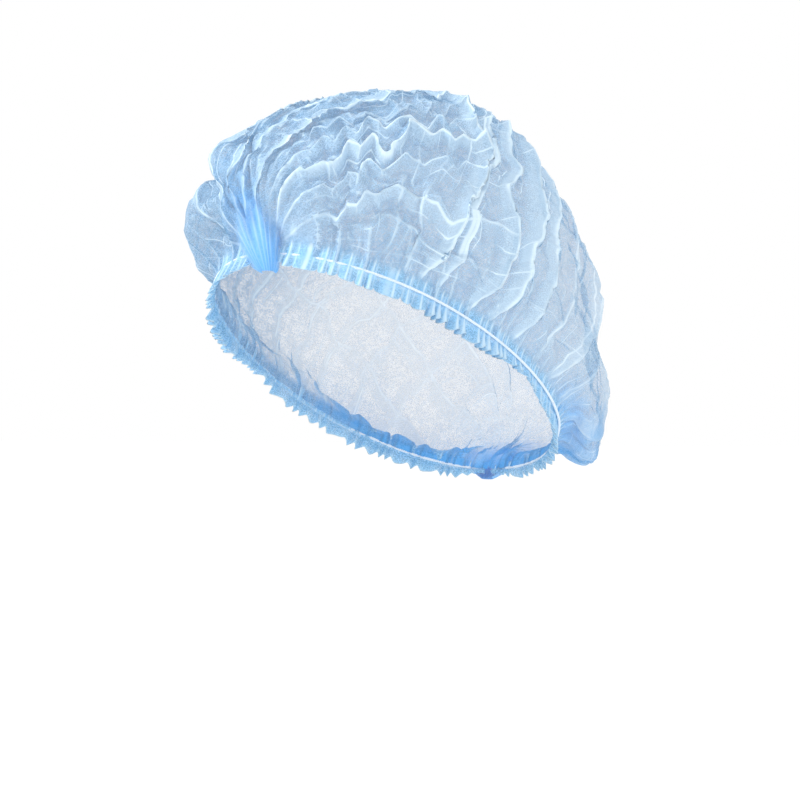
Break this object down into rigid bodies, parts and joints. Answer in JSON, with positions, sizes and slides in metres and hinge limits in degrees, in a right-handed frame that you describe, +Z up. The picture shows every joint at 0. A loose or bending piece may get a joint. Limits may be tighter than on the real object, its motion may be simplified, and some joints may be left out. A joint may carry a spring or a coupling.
{
  "type": "disposable hairnet",
  "caption": "Pleated non-woven hair cover in its worn, puffed form, gathered front and back, with ruffled elastic hems.",
  "frame": {"origin": "inside of the crown at its highest place on the middle line, where the top of a head meets it", "axes": "+Z up as worn, +X to the wearer's left, -Y the way the wearer faces"},
  "size_m": [0.1817, 0.2495, 0.1982],
  "materials": {
    "nonwoven_sheet": "thin light blue spun-bonded sheet, see-through, matte",
    "nonwoven_hem": "the same sheet folded double and gathered, matte",
    "nonwoven_gather": "many layers drawn together, deep blue, matte",
    "covered_elastic": "white yarn-covered elastic thread"
  },
  "bodies": {
    "root": {"crown": "nonwoven_sheet", "hem_left": "nonwoven_hem", "hem_right": "nonwoven_hem", "elastic_left": "covered_elastic", "elastic_right": "covered_elastic", "front_gather": "nonwoven_gather", "rear_gather": "nonwoven_gather"}
  },
  "joints": []
}
